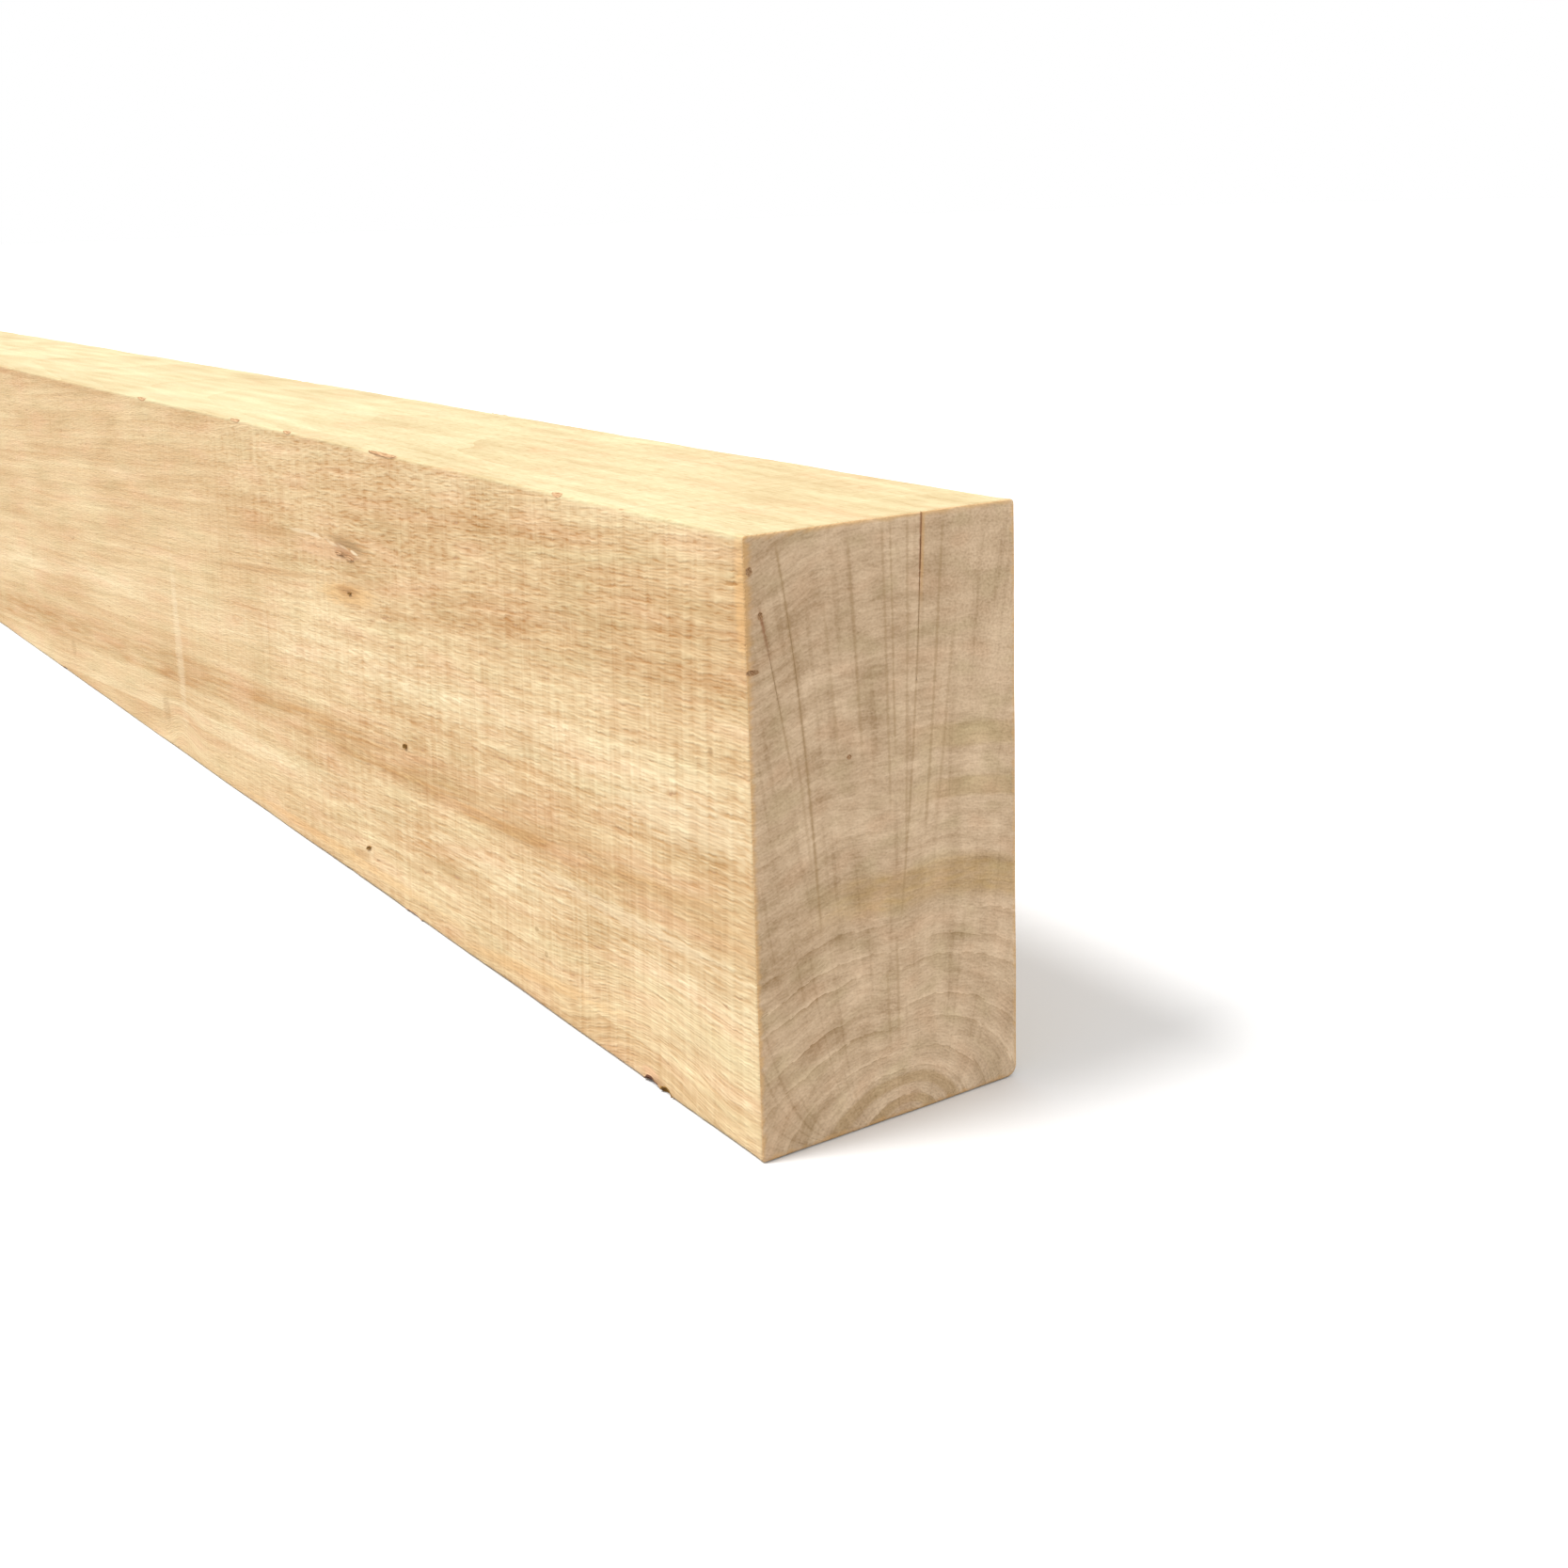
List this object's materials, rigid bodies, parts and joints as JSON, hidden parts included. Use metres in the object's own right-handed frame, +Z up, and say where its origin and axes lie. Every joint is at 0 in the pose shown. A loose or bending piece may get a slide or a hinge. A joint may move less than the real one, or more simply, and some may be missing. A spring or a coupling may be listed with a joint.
{
  "type": "sawn timber beam",
  "caption": "Rough-sawn hardwood beam of rectangular section, standing on its narrow edge, with drying checks in its sawn ends.",
  "frame": {"origin": "middle of the underside, on the level that the beam stands on", "axes": "+X along the length, towards the end with the growth rings that the picture shows; +Y across the thickness, away from the picture's side face; +Z up, across the depth of the section"},
  "size_m": [2.4, 0.105, 0.2],
  "materials": {
    "sawn_wood": "matt, rough sawn, bare"
  },
  "bodies": {
    "root": {"sawn_beam": "sawn_wood"}
  },
  "joints": []
}
